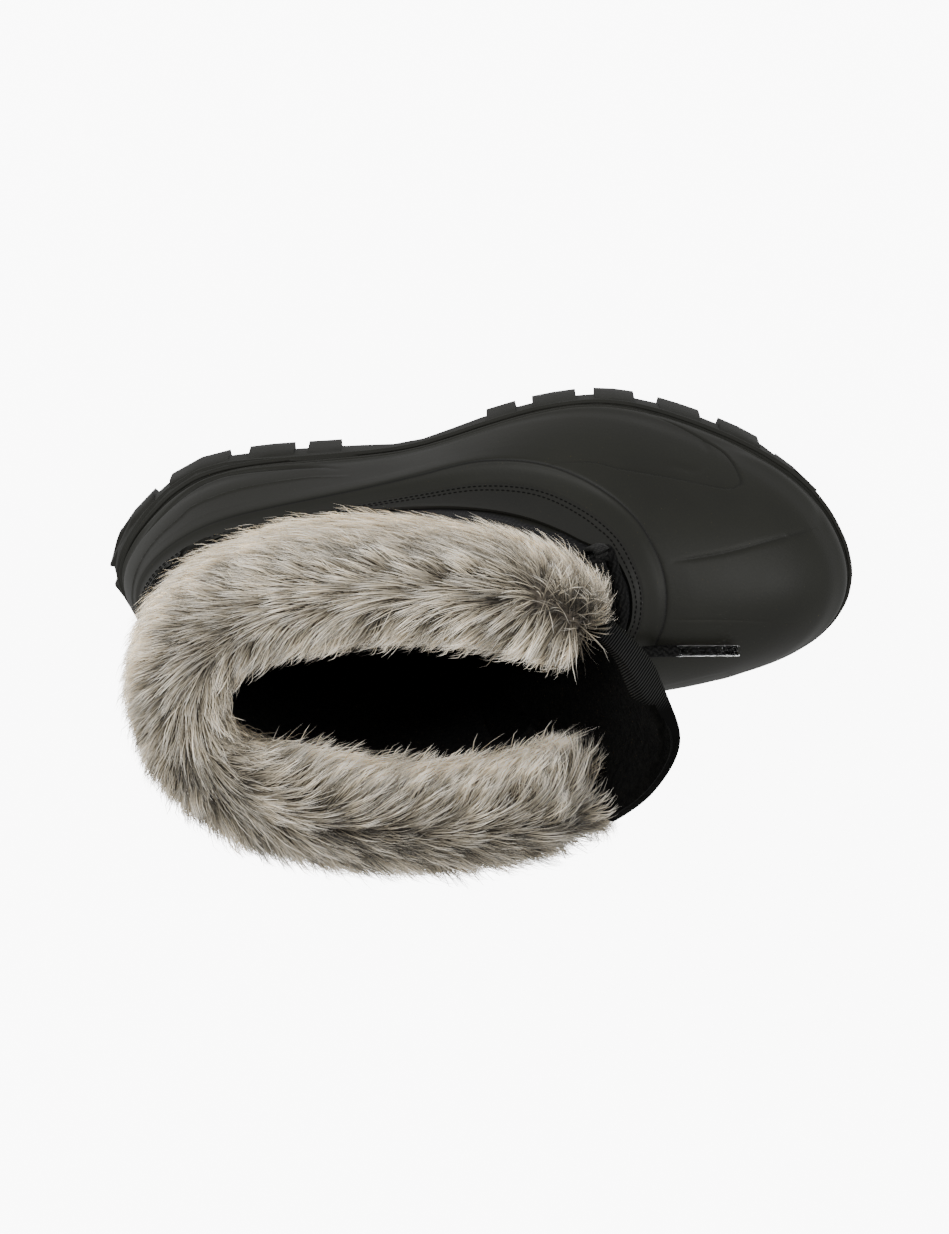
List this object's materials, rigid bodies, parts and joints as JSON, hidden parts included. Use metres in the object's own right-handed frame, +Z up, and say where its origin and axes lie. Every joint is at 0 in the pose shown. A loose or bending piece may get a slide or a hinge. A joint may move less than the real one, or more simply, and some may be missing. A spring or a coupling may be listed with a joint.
{
  "type": "snow boot",
  "caption": "Left lace-up snow boot: moulded rubber foot shell on a lugged outsole, black textile upper, fleece-lined tongue and a deep faux fur cuff",
  "frame": {"origin": "middle of the boot's footprint on the floor", "axes": "+X from the heel to the toe, +Y to the outer side of this left boot, +Z up"},
  "size_m": [0.2894, 0.1341, 0.2607],
  "materials": {
    "outsole_rubber": "matte",
    "shell_rubber": "satin",
    "insole_fabric": "felt",
    "upper_fabric": "matte textile",
    "webbing": "woven",
    "tongue_fleece": "fleece",
    "fur": "long pile",
    "lace_cord": "braided",
    "clear_plastic": "clear"
  },
  "bodies": {
    "root": {"outsole": "outsole_rubber", "shell": "shell_rubber", "insole": "insole_fabric", "upper": "upper_fabric", "facing_lateral": "webbing", "facing_medial": "webbing", "loop_lateral_1": "webbing", "loop_lateral_2": "webbing", "loop_lateral_3": "webbing", "loop_lateral_4": "webbing", "loop_medial_1": "webbing", "loop_medial_2": "webbing", "loop_medial_3": "webbing", "loop_medial_4": "webbing", "tongue": "tongue_fleece", "tongue_binding": "webbing", "fur_cuff": "fur", "lace": "lace_cord", "lace_end": "lace_cord", "aglet": "clear_plastic"}
  },
  "joints": []
}
